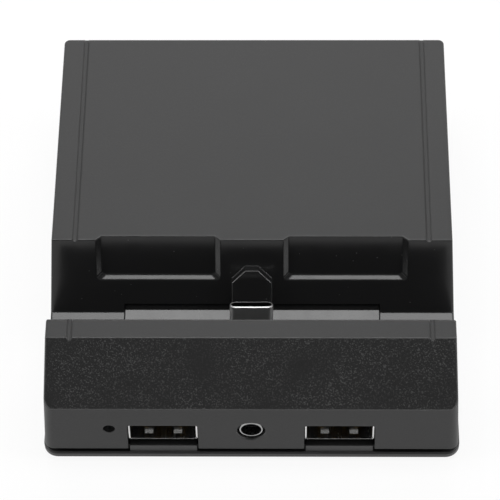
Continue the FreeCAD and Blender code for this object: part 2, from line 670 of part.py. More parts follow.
for name, x in (("left", -DATA_X), ("right", DATA_X)):
    shell = data_block(x, 0, data_mouth, data_back)
    shell = shell.cut(data_block(x, -DATA_SHEET, -FAR, data_back - DATA_SHEET))
    fingers = [spring_finger(x + dx, side) for dx in (-FINGER_X, FINGER_X) for side in (-1, 1)]
    export("data_shell_" + name, fuse([shell] + fingers))
    tongue_z = DATA_Z + TONGUE_LIFT
    block_front = data_back - TONGUE_BLOCK
    y0, y1 = data_mouth + TONGUE_BACK, block_front + ROOT
    stem = box(x - TONGUE_HALF, x + TONGUE_HALF, y0, y1, tongue_z, tongue_z + TONGUE_THICK)
    rear = data_block(x, -DATA_SHEET, block_front, data_back - DATA_SHEET)
    export("data_tongue_" + name, stem.fuse(rear).removeSplitter())
    strips = []
    for dx in STRIP_X:
        x0, x1 = x + dx - STRIP_HALF, x + dx + STRIP_HALF
        strips.append(box(x0, x1, data_mouth + STRIP_BACK, block_front, tongue_z - STRIP_THICK, tongue_z))
    export("data_contacts_" + name, strips)

# Audio jack: body with nose, metal ring at the mouth
jack_mouth = FRONT_Y + JACK_RECESS
jack_back = jack_mouth + JACK_LONG
block_front = -BOARD_HALF_D + JACK_BLOCK_GAP
half = JACK_BLOCK_HALF
jack_body = box(-half, half, block_front, jack_back, BOARD_TOP, JACK_Z + JACK_BLOCK_RISE)
nose = rod(JACK_NOSE_R, (0, jack_mouth + JACK_COLLAR, JACK_Z), (0, block_front + ROOT, JACK_Z))
jack_body = jack_body.fuse(nose).removeSplitter()
jack_body = jack_body.cut(rod(JACK_BORE_R, (0, -FAR, JACK_Z), (0, FAR, JACK_Z)))
ring_end = jack_mouth + JACK_RING_LONG
export("audio_jack_body", jack_body.cut(rod(JACK_RING_R, (0, -FAR, JACK_Z), (0, ring_end, JACK_Z))))
jack_ring = rod(JACK_RING_R, (0, jack_mouth, JACK_Z), (0, ring_end, JACK_Z))
jack_ring = jack_ring.makeChamfer(JACK_RING_BEVEL, sharp_edges(jack_ring, lambda e, p: p.y < ring_end - 0.1))
export("audio_jack_ring", jack_ring.cut(rod(JACK_LEAD_R, (0, -FAR, JACK_Z), (0, 0, JACK_Z))))

# Status light: chip on the board and a bent light pipe to the front wall
pipe_y = FRONT_Y + LIGHT_BACK
chip_top = BOARD_TOP + LIGHT_CHIP_TALL
half = LIGHT_CHIP_HALF
light_chip = box(LIGHT_X - half, LIGHT_X + half, pipe_y - half, pipe_y + half, BOARD_TOP, chip_top)
export("status_light", light_chip)
pipe = rod(LIGHT_R, (LIGHT_X, FRONT_Y + LIGHT_RECESS, LIGHT_Z), (LIGHT_X, pipe_y, LIGHT_Z))
elbow = Part.makeSphere(LIGHT_R, V(LIGHT_X, pipe_y, LIGHT_Z))
drop = rod(LIGHT_R, (LIGHT_X, pipe_y, chip_top), (LIGHT_X, pipe_y, LIGHT_Z))
export("light_pipe", fuse([pipe, elbow, drop]))

# Rear video socket: shouldered shell, tongue and contact rows
rear_mouth = shell_half_d(VIDEO_Z) - REAR_RECESS
video_back = rear_mouth - VIDEO_LONG + VIDEO_SHEET
video_shell = video_block(0, rear_mouth - VIDEO_LONG, rear_mouth)
export("video_shell", video_shell.cut(video_block(-VIDEO_SHEET, video_back, FAR)))
block_rear = video_back + VIDEO_BLOCK
video_core = video_block(-VIDEO_SHEET, video_back, block_rear)
half = VIDEO_BLADE_HALF
low, high = VIDEO_Z - VIDEO_BLADE_LOW, VIDEO_Z + VIDEO_BLADE_HIGH
y0, y1 = block_rear - ROOT, rear_mouth - VIDEO_BLADE_BACK
video_tongue = box(VIDEO_X - half, VIDEO_X + half, y0, y1, low, high)
export("video_tongue", video_core.fuse(video_tongue).removeSplitter())


def video_pin(place, z):
    x = VIDEO_X + (place - (VIDEO_PIN_COUNT - 1) / 2) * VIDEO_PIN_PITCH
    x0, x1 = x - VIDEO_PIN_HALF, x + VIDEO_PIN_HALF
    return box(x0, x1, block_rear, rear_mouth - VIDEO_PIN_BACK, z, z + VIDEO_PIN_THICK)


video_contacts = [video_pin(i, low - VIDEO_PIN_THICK) for i in range(VIDEO_PIN_COUNT)]
video_contacts += [video_pin(i + 0.5, high) for i in range(VIDEO_PIN_COUNT - 1)]
export("video_contacts", video_contacts)

# Rear power inlet: oval shell and tongue
power_back = rear_mouth - POWER_LONG
power_shell = inlet_block(0, power_back, rear_mouth)
export("power_shell", power_shell.cut(inlet_block(-POWER_SHEET, 0, FAR)))
block_rear = power_back + POWER_BLOCK
power_core = inlet_block(-POWER_SHEET, power_back, block_rear)
half, thick = POWER_BLADE_HALF, POWER_BLADE_THICK / 2
y0, y1 = block_rear - ROOT, rear_mouth - POWER_BLADE_BACK
power_tongue = box(POWER_X - half, POWER_X + half, y0, y1, POWER_Z - thick, POWER_Z + thick)
export("power_tongue", power_core.fuse(power_tongue).removeSplitter())

# Board parts and the flat cable between the two boards


def chip(x, y, size, tall):
    half = size / 2
    return box(x - half, x + half, y - half, y + half, BOARD_TOP, BOARD_TOP + tall)


export("video_chip", chip(VIDEO_CHIP_X, CHIP_ROW_Y, VIDEO_CHIP_SIZE, CHIP_TALL))
export("hub_chip", chip(HUB_CHIP_X, CHIP_ROW_Y, HUB_CHIP_SIZE, CHIP_TALL))
export("power_chip", chip(POWER_CHIP_X, CHIP_ROW_Y + POWER_CHIP_BEHIND, POWER_CHIP_SIZE, CHIP_TALL))
coils = []
for i in (-1, 0, 1):
    coil = chip(COIL_X, COIL_Y + i * COIL_PITCH, COIL_SIZE, COIL_TALL)
    corners = sharp_edges(coil, lambda e, p: e.BoundBox.ZLength > COIL_TALL / 2)
    coils.append(coil.makeFillet(COIL_CORNER_R, corners))
export("power_coils", coils)
cans = []
for x, y in ((CAN_X, -CAN_PITCH / 2), (CAN_X, CAN_PITCH / 2), (CAN_X + CAN_PITCH * 0.87, 0)):
    at = (x, CHIP_ROW_Y + y, BOARD_TOP)
    cans.append(rod(CAN_R, at, (x, CHIP_ROW_Y + y, BOARD_TOP + CAN_TALL)))
export("power_capacitors", cans)
half = CABLE_SOCKET_HALF
deep = CABLE_SOCKET_DEEP
upper_m = board_end + CABLE_SOCKET_TALL
socket_upper = leaning_box(-half, half, board_end, upper_m, CABLE_SOCKET_N, CABLE_SOCKET_N + deep)
export("cable_socket_upper", socket_upper)
lower_y = SLOT_EDGE_Y - CABLE_LANDING
y0, y1 = lower_y - deep / 2, lower_y + deep / 2
socket_lower = box(-half, half, y0, y1, BOARD_TOP, BOARD_TOP + CABLE_SOCKET_TALL)
export("cable_socket_lower", socket_lower)


def ribbon(points, thick, half):
    left, right = [], []
    for i, p in enumerate(points):
        along = (points[min(i + 1, len(points) - 1)] - points[max(i - 1, 0)]).normalize()
        across = V(0, -along.z, along.y) * (thick / 2)
        left.append(V(-half, p.y + across.y, p.z + across.z))
        right.append(V(-half, p.y - across.y, p.z - across.z))
    return slab([(p, 0) for p in left + right[::-1]], V(2 * half, 0, 0))


start = leaning(0, board_end + CABLE_SOCKET_TALL / 2, CABLE_SOCKET_N)
end = V(0, y0, BOARD_TOP + CABLE_SOCKET_TALL / 2)
leave = start - N_AXIS * CABLE_EXIT
arrive = end - V(0, CABLE_EXIT, 0)
bends = [leave, leave - N_AXIS * CABLE_BEND, arrive - V(0, CABLE_BEND, 0), arrive]
route = [start]
for i in range(CABLE_STEPS + 1):
    t = i / CABLE_STEPS
    weights = [(1 - t) ** 3, 3 * t * (1 - t) ** 2, 3 * t * t * (1 - t), t ** 3]
    route.append(sum((b * w for b, w in zip(bends, weights)), V()))
route.append(end)
export("flat_cable", ribbon(route, CABLE_THICK, CABLE_HALF))
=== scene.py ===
import math

import bmesh
import bpy
from bpy.props import FloatProperty, FloatVectorProperty, IntProperty, PointerProperty
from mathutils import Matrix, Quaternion, Vector


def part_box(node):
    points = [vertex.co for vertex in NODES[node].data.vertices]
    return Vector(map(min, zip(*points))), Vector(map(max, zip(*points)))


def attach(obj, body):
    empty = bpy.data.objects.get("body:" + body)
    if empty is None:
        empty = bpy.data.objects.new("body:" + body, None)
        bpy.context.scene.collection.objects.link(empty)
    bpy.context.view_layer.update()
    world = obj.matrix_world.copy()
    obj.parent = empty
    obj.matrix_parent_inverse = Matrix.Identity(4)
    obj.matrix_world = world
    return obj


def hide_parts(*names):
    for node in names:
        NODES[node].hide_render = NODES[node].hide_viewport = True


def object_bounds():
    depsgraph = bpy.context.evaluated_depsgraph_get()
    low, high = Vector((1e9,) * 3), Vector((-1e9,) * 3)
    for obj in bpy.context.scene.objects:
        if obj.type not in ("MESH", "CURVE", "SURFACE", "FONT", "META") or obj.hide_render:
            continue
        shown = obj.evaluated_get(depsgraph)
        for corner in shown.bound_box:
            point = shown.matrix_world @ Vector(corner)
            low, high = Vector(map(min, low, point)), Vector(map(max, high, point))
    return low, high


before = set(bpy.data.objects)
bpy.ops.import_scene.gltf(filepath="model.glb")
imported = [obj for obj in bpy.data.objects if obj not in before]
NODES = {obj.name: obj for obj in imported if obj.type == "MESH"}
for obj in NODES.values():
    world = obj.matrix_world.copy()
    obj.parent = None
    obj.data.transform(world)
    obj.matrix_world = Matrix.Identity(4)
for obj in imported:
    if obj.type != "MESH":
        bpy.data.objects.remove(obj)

bl_info = {
    "name": "Console Dock Finish",
    "version": (1, 0, 0),
    "blender": (4, 5, 0),
    "location": "View3D > Sidebar > Dock",
    "description": "Finishes a moulded console dock and sets it on a studio floor",
    "category": "Object",
}

CAD_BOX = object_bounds()
MM = 0.001
TOP_Z = CAD_BOX[1].z / MM

# How flat the sloped front and the rounded edges lie, from upright 0 to flat 1
SLOPE_RISE = (0.69, 0.735)
EDGE_RISE = (0.10, 0.97)
# Past the slot's faces, in millimetres: where the polish starts to fade and where it ends
FADE_FROM, FADE_TO = 0.28, 0.36
# Scales of the cover's noises, per millimetre
CLOUD_SCALE, PATCH_SCALE, SMEAR_SCALE, MATTE_SCALE, SPECK_SCALE = 0.05, 0.10, 0.22, 2.4, 0.55
# Painted glints in one grain of the texture, their strength off the slope, and how far painted shade darkens
# the slope's plastic toward black
GLINTS_PER_GRAIN, GLINTS_OFF_SLOPE, SLOPE_PAINTED_SHADE = 1.40, 0.07, 0.45
# Strength of the texture's relief off the slope and on the polished faces
RELIEF_OFF_SLOPE, RELIEF_POLISHED = 0.25, 0.015
# Grey of the dust specks, and of the painted shade inside the plug's mouth
DUST_GREY, MOUTH_SHADE_GREY = 0.10, 0.015
# Edges turned by more than this are drawn sharp on the screws
SHARP_ANGLE = math.radians(33)
# Half the width of the floor in metres, and how much of its seen colour is plain white
FLOOR_HALF, FLOOR_WHITE = 3.0, 0.9


# Sizes and colours that a user would change
def length(name, description, default):
    return FloatProperty(name=name, description=description, default=default * MM, unit="LENGTH",
                         precision=5)


def factor(name, description, default, low=0.0, high=1.0):
    return FloatProperty(name=name, description=description, default=default, min=low, max=high)


def colour(name, description, default):
    return FloatVectorProperty(name=name, description=description, default=default, subtype="COLOR",
                               size=3, min=0.0, max=1.0)


def angle(name, description, degrees):
    return FloatProperty(name=name, description=description, default=math.radians(degrees),
                         subtype="ANGLE")


def place(name, description, default):
    return FloatVectorProperty(name=name, description=description, subtype="TRANSLATION", unit="LENGTH",
                               default=[value * MM for value in default])


def watts(name, description, default):
    return FloatProperty(name=name, description=description, default=default, min=0.0, unit="POWER")


class DockMoulding(bpy.types.PropertyGroup):
    plastic: colour("Plastic", "Colour of the black moulded plastic", (0.0135, 0.0135, 0.0138))
    # Colour of the painted glints, light dots that stand in for the sparkle of the texture
    glint_tint: colour("Painted glints", "Colour of the glints painted on the texture", (0.060, 0.060, 0.060))
    # Painted highlight: a lighter colour on the rounded edges
    edge_highlight: colour("Edge highlight", "Colour of the highlight painted on the rubbed edges", (0.050, 0.050, 0.050))
    rough: factor("Texture roughness", "Roughness of the spark-textured outside", 0.47)
    rubbed: factor("Rubbed roughness", "Roughness of the edges that hands have rubbed", 0.20)
    polish: factor("Polish roughness", "Roughness of the polished slot", 0.16)
    grain: length("Grain", "Size of the spark texture's grain", 0.40)
    depth: length("Grain depth", "Depth of the spark texture", 0.05)
    edge: length("Edge softness", "Rounding of the moulded edges", 0.25)
    lean: angle("Slot lean", "How far the slot leans back", 28.0)
    slot_edge: length("Slot edge", "Where the slot's back wall meets the top, along Y", -9.43)
    slot_width: length("Slot width", "Width of the slot across its walls", 16.1)
    slot_depth: length("Slot depth", "Depth of the slot along its back wall", 16.55)
    pocket_deep: length("Pocket depth", "Depth of the air pockets in the back wall", 0.8)
    pocket_reach: length("Pocket reach", "Half of the width that the two air pockets span", 30.4)
    plug_wide: length("Plug width", "Width of the console plug", 8.25)
    plug_thick: length("Plug thickness", "Thickness of the console plug", 2.4)
    plug_wall: length("Plug wall", "Sheet thickness of the console plug's shell", 0.25)
    plug_tip: length("Plug tip", "Distance of the plug's tip below the top, along the back wall", 9.43)
    dust: length("Dust", "Size of the dust specks on the polished walls", 0.08)


class DockMetal(bpy.types.PropertyGroup):
    steel: colour("Plated steel", "Colour of the sockets' plated shells", (0.74, 0.74, 0.73))
    stainless: colour("Stainless steel", "Colour of the console plug's shell", (0.50, 0.50, 0.50))
    ring: colour("Jack ring", "Colour of the ring in the audio jack", (0.42, 0.42, 0.42))
    gold: colour("Gold plate", "Colour of the contacts", (0.78, 0.55, 0.24))
    zinc: colour("Screw zinc", "Colour of the blackened screws", (0.045, 0.045, 0.048))


class DockScrews(bpy.types.PropertyGroup):
    segments: IntProperty(name="Segments", description="Segments round a screw head",
                          default=40, min=12, max=96)
    case_head: length("Case screw head", "Radius of a case screw's head", 2.1)
    case_tall: length("Case screw head height", "Height of a case screw's head", 1.4)
    board_head: length("Board screw head", "Radius of a board screw's head", 1.9)
    board_tall: length("Board screw head height", "Height of a board screw's head", 1.3)
    board_front: length("Front board screws", "Distance of the front board screws from the middle", 25.0)
    shank: length("Shank", "Radius of the screws over the thread", 1.0)
    pitch: length("Pitch", "Rise of the thread in one turn", 0.8)
    thread: length("Thread depth", "Depth of the thread", 0.2)
    recess: length("Recess", "Width of the cross recess's arms", 0.62)
    reach: length("Reach", "Length of the cross recess, tip to tip", 2.5)
    deep: length("Recess depth", "Depth of the cross recess", 0.85)


class DockStage(bpy.types.PropertyGroup):
    elevation: angle("Elevation", "Camera height above the horizon", 53.0)
    azimuth: angle("Azimuth", "Camera turn round the dock", 1.37)
    roll: angle("Roll", "Camera turn about its own line of sight", -1.04)
    distance: length("Distance", "Camera distance from the point it looks at", 515.2)
    aim: place("Aim", "Point that the camera looks at", (-0.31, -11.81, 25.5))
    lens: FloatProperty(name="Lens", description="Focal length on a 36 mm sensor", default=194.4,
                        unit="CAMERA")
    sky: factor("Sky", "Level of the even studio light", 0.15, 0.0, 5.0)
    horizon: angle("Horizon", "Height up to which the seen background stays white", 14.0)
    back_light: watts("Back box", "Power of the soft box behind the dock", 1.05)
    back_wide: length("Back box width", "Width of the soft box behind the dock", 500.0)
    back_deep: length("Back box height", "Height of the soft box behind the dock", 250.0)
    back_place: place("Back box place", "Middle of the soft box behind the dock", (0.0, 340.0, 320.0))
    top_light: watts("Top strip", "Power of the strip light overhead", 2.25)
    top_wide: length("Top strip width", "Width of the strip light overhead", 600.0)
    top_deep: length("Top strip depth", "Depth of the strip light overhead", 200.0)
    top_place: place("Top strip place", "Middle of the strip light overhead", (0.0, 30.0, 600.0))
    side_light: watts("Side boxes", "Power of each soft box at the sides", 1.1)
    side_wide: length("Side box width", "Width of each soft box at the sides", 180.0)
    side_deep: length("Side box height", "Height of each soft box at the sides", 180.0)
    side_place: place("Side box place", "Middle of the right soft box, mirrored to the left",
                      (550.0, -50.0, 350.0))


# Helpers for nodes, colours and objects
def put(tree, kind, sockets=None, **settings):
    """Adds a node, sets its settings, and links or sets its inputs by name or index."""
    made = tree.nodes.new(kind)
    for key, value in settings.items():
        setattr(made, key, value)
    for key, value in (sockets or {}).items():
        socket = made.inputs[key]
        if isinstance(value, bpy.types.NodeSocket):
            tree.links.new(value, socket)
        else:
            socket.default_value = value
    return made


def maths(tree, operation, a, b=0.0, c=0.0, clamp=False):
    made = put(tree, "ShaderNodeMath", {0: a, 1: b, 2: c}, operation=operation, use_clamp=clamp)
    return made.outputs[0]


def times(tree, a, b):
    return maths(tree, "MULTIPLY", a, b)


def varied(tree, least, share, spread):
    """A value that starts at least and rises by spread as the share goes from 0 to 1."""
    return maths(tree, "ADD", least, times(tree, share, spread))


def shown(tree):
    """1 on rays that show the background: from the camera, off a gloss or through glass."""
    ray = put(tree, "ShaderNodeLightPath").outputs
    seen = maths(tree, "ADD", ray["Is Camera Ray"], ray["Is Glossy Ray"], clamp=True)
    return maths(tree, "ADD", seen, ray["Is Transmission Ray"], clamp=True)


def step(tree, value, low, high):
    """Smooth rise from 0 at low to 1 at high."""
    made = put(tree, "ShaderNodeMapRange", {0: value, 1: low, 2: high, 3: 0.0, 4: 1.0},
               interpolation_type="SMOOTHSTEP")
    return made.outputs[0]


def blend_values(tree, share, a, b):
    made = put(tree, "ShaderNodeMix", {0: share, 2: a, 3: b}, data_type="FLOAT")
    return made.outputs[0]


def blend_colours(tree, share, a, b):
    made = put(tree, "ShaderNodeMix", {0: share, 6: a, 7: b}, data_type="RGBA")
    return made.outputs[2]


def rgba(values, gain=1.0):
    return (values[0] * gain, values[1] * gain, values[2] * gain, 1.0)


def grey(level):
    return (level, level, level, 1.0)


def corners(node):
    return [Vector(corner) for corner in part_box(node)]


def add_object(name, data):
    made = bpy.data.objects.new(name, data)
    bpy.context.scene.collection.objects.link(made)
    return made


class Finish:
    """A material with its shader and the object's own coordinates in millimetres."""

    def __init__(self, name):
        self.material = bpy.data.materials.new(name)
        self.material.use_nodes = True
        self.tree = self.material.node_tree
        self.shader = self.tree.nodes["Principled BSDF"]
        place = put(self.tree, "ShaderNodeTexCoord").outputs["Object"]
        scaled = put(self.tree, "ShaderNodeVectorMath", {0: place, "Scale": 1 / MM}, operation="SCALE")
        self.place = scaled.outputs[0]

    def noise(self, scale, detail=2.0, rough=0.5, stretch=None):
        at = self.place
        if stretch:
            at = put(self.tree, "ShaderNodeVectorMath", {0: at, 1: stretch}, operation="MULTIPLY").outputs[0]
        sockets = {"Vector": at, "Scale": scale, "Detail": detail, "Roughness": rough}
        return put(self.tree, "ShaderNodeTexNoise", sockets).outputs["Fac"]

    def cells(self, scale, feature="F1"):
        sockets = {"Vector": self.place, "Scale": scale}
        return put(self.tree, "ShaderNodeTexVoronoi", sockets, feature=feature).outputs["Distance"]

    def bump(self, height, strength, depth, below=None):
        sockets = {"Height": height, "Strength": strength, "Distance": depth}
        if below is not None:
            sockets["Normal"] = below
        return put(self.tree, "ShaderNodeBump", sockets).outputs[0]

    def tilted(self, least, most):
        """1 on faces whose rise, from upright 0 to flat 1, is between the two values."""
        facing = put(self.tree, "ShaderNodeNewGeometry").outputs["True Normal"]
        rise = put(self.tree, "ShaderNodeSeparateXYZ", {0: facing}).outputs["Z"]
        above = step(self.tree, rise, least - 0.02, least)
        return times(self.tree, above, step(self.tree, rise, most + 0.01, most))

    def soft_edge(self, radius):
        return put(self.tree, "ShaderNodeBevel", {"Radius": radius}, samples=6).outputs[0]

    def set(self, **sockets):
        for key, value in sockets.items():
            socket = self.shader.inputs[key.replace("_", " ").title().replace("Ior", "IOR")]
            if isinstance(value, bpy.types.NodeSocket):
                self.tree.links.new(value, socket)
            else:
                socket.default_value = value
        return self.material


def dress(material, *names):
    for name in names:
        slots = NODES[name].data.materials
        slots.clear()
        slots.append(material)


def leaning_place(finish, kind):
    """Distance down the slot's back wall (m) and out of it (n), in millimetres."""
    tree = finish.tree
    axes = put(tree, "ShaderNodeSeparateXYZ", {0: finish.place}).outputs
    y = maths(tree, "SUBTRACT", axes["Y"], kind.slot_edge / MM)
    z = maths(tree, "SUBTRACT", axes["Z"], TOP_Z)
    s, c = math.sin(kind.lean), math.cos(kind.lean)
    m = maths(tree, "ADD", times(tree, y, -s), times(tree, z, -c))
    n = maths(tree, "ADD", times(tree, y, -c), times(tree, z, s))
    return m, n


def slot_mask(finish, kind):
    """1 on the polished faces of the slot, 0 on the textured outside."""
    tree = finish.tree
    m, n = leaning_place(finish, kind)
    axes = put(tree, "ShaderNodeSeparateXYZ", {0: finish.place}).outputs
    width, deep, reach = kind.slot_width / MM, kind.slot_depth / MM, kind.pocket_reach / MM
    by_pockets = step(tree, maths(tree, "ABSOLUTE", axes["X"]), reach + 0.3, reach)
    behind = maths(tree, "SUBTRACT", n, times(tree, by_pockets, -kind.pocket_deep / MM))
    inside = step(tree, axes["Z"], TOP_Z - 0.02, TOP_Z - 0.10)
    inside = times(tree, inside, step(tree, behind, -FADE_TO, -FADE_FROM))
    inside = times(tree, inside, step(tree, n, width + FADE_TO, width + FADE_FROM))
    return times(tree, inside, step(tree, m, deep + FADE_TO, deep + FADE_FROM))


# Finishes
def spark_texture(finish, kind):
    """Height of the spark-eroded mould texture: fine grain with scattered pits."""
    grain = kind.grain / MM
    fine = times(finish.tree, finish.noise(1.0 / grain, 3.0, 0.62), 0.75)
    pits = times(finish.tree, finish.cells(0.75 / grain), 0.35)
    return maths(finish.tree, "ADD", fine, pits)


def cover_finish(kind):
    """Spark-textured outside with painted glints, painted shade on the slope and a painted highlight on the
    rubbed edges, polished slot with a little dust.
    """
    finish = Finish("moulded_black")
    tree = finish.tree
    polished = slot_mask(finish, kind)
    textured = maths(tree, "SUBTRACT", 1.0, polished)
    slope = finish.tilted(*SLOPE_RISE)
    edges = maths(tree, "SUBTRACT", finish.tilted(*EDGE_RISE), slope, clamp=True)
    edges = times(tree, edges, textured)
    speck = maths(tree, "LESS_THAN", finish.cells(SPECK_SCALE), SPECK_SCALE * kind.dust / MM)
    dust = times(tree, speck, polished)

    patches = step(tree, finish.noise(PATCH_SCALE, 2.0), 0.20, 0.60)
    patches = times(tree, patches, blend_values(tree, slope, GLINTS_OFF_SLOPE, 1.0))
    # Painted glints: light dots, mostly on the slope, that stand in for the texture's sparkle
    painted_glints = step(tree, finish.noise(GLINTS_PER_GRAIN / (kind.grain / MM), 1.0), 0.51, 0.72)
    painted_glints = times(tree, times(tree, painted_glints, patches), textured)
    cloud = finish.noise(CLOUD_SCALE, 2.0)
    tint = blend_colours(tree, cloud, rgba(kind.plastic, 0.86), rgba(kind.plastic, 1.04))
    # Painted shade: the slope's plastic is darkened toward black
    tint = blend_colours(tree, times(tree, slope, SLOPE_PAINTED_SHADE), tint, grey(0.0))
    tint = blend_colours(tree, painted_glints, tint, rgba(kind.glint_tint))
    # Painted highlight: the rounded edges are tinted lighter than the plastic
    tint = blend_colours(tree, edges, tint, rgba(kind.edge_highlight))
    tint = blend_colours(tree, dust, tint, grey(DUST_GREY))

    matte = varied(tree, kind.rough - 0.05, finish.noise(MATTE_SCALE, 2.0, 0.7), 0.10)
    rubbed = blend_values(tree, edges, matte, kind.rubbed)
    smear = varied(tree, kind.polish * 0.6, finish.noise(SMEAR_SCALE, 3.0), kind.polish * 0.8)
    dusty = maths(tree, "MAXIMUM", smear, times(tree, dust, 0.8))
    rough = blend_values(tree, polished, rubbed, dusty)

    relief = times(tree, textured, blend_values(tree, slope, RELIEF_OFF_SLOPE, 1.0))
    relief = maths(tree, "MAXIMUM", relief, RELIEF_POLISHED)
    normal = finish.bump(spark_texture(finish, kind), relief, kind.depth, finish.soft_edge(kind.edge))
    return finish.set(base_color=tint, roughness=rough, normal=normal, ior=1.45)


def base_finish(kind):
    """The cover's texture on a slightly lighter plastic."""
    finish = Finish("base_black")
    tree = finish.tree
    tint = blend_colours(tree, finish.noise(0.06), rgba(kind.plastic, 1.2), rgba(kind.plastic, 1.5))
    rough = varied(tree, kind.rough - 0.12, finish.noise(2.2), 0.1)
    texture = spark_texture(finish, kind)
    normal = finish.bump(texture, RELIEF_OFF_SLOPE, kind.depth, finish.soft_edge(kind.edge))
    return finish.set(base_color=tint, roughness=rough, normal=normal, ior=1.5)


def bed_finish(kind):
    """Polished plastic with faint ripples."""
    finish = Finish("bed_black")
    tree = finish.tree
    tint = blend_colours(tree, finish.noise(0.1), rgba(kind.plastic, 0.9), rgba(kind.plastic, 1.1))
    rough = varied(tree, kind.polish * 0.7, finish.noise(0.3, 3.0), kind.polish)
    ripples = finish.noise(0.8, 2.0)
    normal = finish.bump(ripples, 0.05, kind.depth, finish.soft_edge(kind.edge * 0.6))
    return finish.set(base_color=tint, roughness=rough, normal=normal, ior=1.5)


def plug_mouth_shade(finish, kind):
    """1 on the inner faces of the plug's shell, where painted shade darkens the metal."""
    tree = finish.tree
    m, n = leaning_place(finish, kind)
    low, high = corners("plug_shell")
    middle = (low + high) / 2
    along, up = middle.y - kind.slot_edge, middle.z - CAD_BOX[1].z
    across = (up * math.sin(kind.lean) - along * math.cos(kind.lean)) / MM
    x = put(tree, "ShaderNodeSeparateXYZ", {0: finish.place}).outputs["X"]
    straight = (kind.plug_wide - kind.plug_thick) / 2 / MM
    aside = maths(tree, "MAXIMUM", maths(tree, "SUBTRACT", maths(tree, "ABSOLUTE", x), straight), 0.0)
    off = maths(tree, "SUBTRACT", n, across)
    apart = maths(tree, "SQRT", maths(tree, "MULTIPLY_ADD", aside, aside, times(tree, off, off)))
    bore, tip = (kind.plug_thick / 2 - kind.plug_wall) / MM, kind.plug_tip / MM
    inside = step(tree, apart, bore + 0.08, bore + 0.03)
    return times(tree, inside, step(tree, m, tip + 0.05, tip + 0.2))


def sheet_metal(name, base, rough, stretch, shade=None):
    """Drawn sheet metal: brush lines along one axis, darker blotches, a part darkened with painted shade if
    one is given.
    """
    finish = Finish(name)
    tree = finish.tree
    lines = finish.noise(3.0, 3.0, 0.6, stretch)
    tint = blend_colours(tree, finish.noise(0.5, 3.0), rgba(base, 0.78), rgba(base, 1.08))
    if shade:
        # Painted shade: the given part is darkened to a near black grey
        tint = blend_colours(tree, shade(finish), tint, grey(MOUTH_SHADE_GREY))
    polish = varied(tree, rough - 0.06, lines, 0.14)
    normal = finish.bump(lines, 0.25, 0.004 * MM, finish.soft_edge(0.05 * MM))
    return finish.set(base_color=tint, metallic=1.0, roughness=polish, normal=normal)


def nylon_finish():
    """Glass-filled nylon of the sockets' bodies and tongues."""
    finish = Finish("socket_nylon")
    tree = finish.tree
    fibres = finish.noise(6.0, 2.0, 0.6, (0.3, 1.0, 1.0))
    tint = blend_colours(tree, fibres, (0.007, 0.007, 0.008, 1), (0.015, 0.015, 0.016, 1))
    rough = varied(tree, 0.38, finish.noise(3.0), 0.16)
    normal = finish.bump(fibres, 0.2, 0.005 * MM, finish.soft_edge(0.06 * MM))
    return finish.set(base_color=tint, roughness=rough, normal=normal)


def rubber_finish():
    """Stippled rubber with a little dust."""
    finish = Finish("foot_rubber")
    tree = finish.tree
    stipple = finish.cells(2.6)
    dust = finish.noise(0.9, 4.0, 0.7)
    tint = blend_colours(tree, dust, (0.018, 0.018, 0.019, 1), (0.042, 0.041, 0.040, 1))
    rough = varied(tree, 0.72, dust, 0.2)
    normal = finish.bump(stipple, 0.35, 0.03 * MM, finish.soft_edge(0.15 * MM))
    return finish.set(base_color=tint, roughness=rough, normal=normal)


def light_finish():
    """Milky acrylic of the light pipe."""
    finish = Finish("light_pipe_acrylic")
    tree = finish.tree
    haze = finish.noise(1.6, 3.0)
    rough = varied(tree, 0.16, haze, 0.2)
    tint = blend_colours(tree, haze, (0.62, 0.64, 0.64, 1), (0.78, 0.80, 0.80, 1))
    normal = finish.bump(haze, 0.1, 0.01 * MM)
    return finish.set(base_color=tint, roughness=rough, normal=normal, ior=1.49)


def board_finish():
    """Green laminate: woven glass under the mask, raised copper tracks."""
    finish = Finish("board_laminate")
    tree = finish.tree
    sockets = {"Vector": finish.place, "Scale": 3.0, "Distortion": 0.6}
    weave = put(tree, "ShaderNodeTexWave", sockets).outputs["Fac"]
    copper = maths(tree, "LESS_THAN", finish.cells(0.55, "DISTANCE_TO_EDGE"), 0.05)
    mask = blend_colours(tree, weave, (0.008, 0.050, 0.024, 1), (0.010, 0.062, 0.030, 1))
    tint = blend_colours(tree, copper, mask, (0.016, 0.095, 0.045, 1))
    normal = finish.bump(copper, 0.3, 0.03 * MM)
    rough = varied(tree, 0.30, weave, 0.08)
    return finish.set(base_color=tint, roughness=rough, normal=normal)


def epoxy_finish():
    """Grainy black epoxy of the chips and coils."""
    finish = Finish("chip_epoxy")
    grain = finish.noise(5.0, 3.0, 0.7)
    tint = blend_colours(finish.tree, grain, (0.013, 0.013, 0.014, 1), (0.024, 0.024, 0.025, 1))
    normal = finish.bump(grain, 0.3, 0.01 * MM)
    rough = varied(finish.tree, 0.5, grain, 0.2)
    return finish.set(base_color=tint, roughness=rough, normal=normal)


def film_finish():
    """Pale film of the flat cable, with its tracks showing through."""
    finish = Finish("cable_film")
    tree = finish.tree
    sockets = {"Vector": finish.place, "Scale": 0.32}
    tracks = put(tree, "ShaderNodeTexWave", sockets, bands_direction="X").outputs["Fac"]
    tint = blend_colours(tree, step(tree, tracks, 0.4, 0.6), (0.52, 0.50, 0.46, 1), (0.70, 0.69, 0.66, 1))
    normal = finish.bump(tracks, 0.2, 0.03 * MM)
    rough = varied(tree, 0.30, tracks, 0.1)
    return finish.set(base_color=tint, roughness=rough, normal=normal)


# Pieces
def props():
    return bpy.context.scene.dock


class DOCK_OT_covers(bpy.types.Operator):
    """Finish the moulded covers and the connector bed"""
    bl_idname = "dock.covers"
    bl_label = "Finish Covers"

    def execute(self, context):
        kind = props().moulding
        dress(cover_finish(kind), "top_cover")
        dress(base_finish(kind), "bottom_cover")
        dress(bed_finish(kind), "connector_bed")
        dress(rubber_finish(), "rubber_feet")
        return {"FINISHED"}


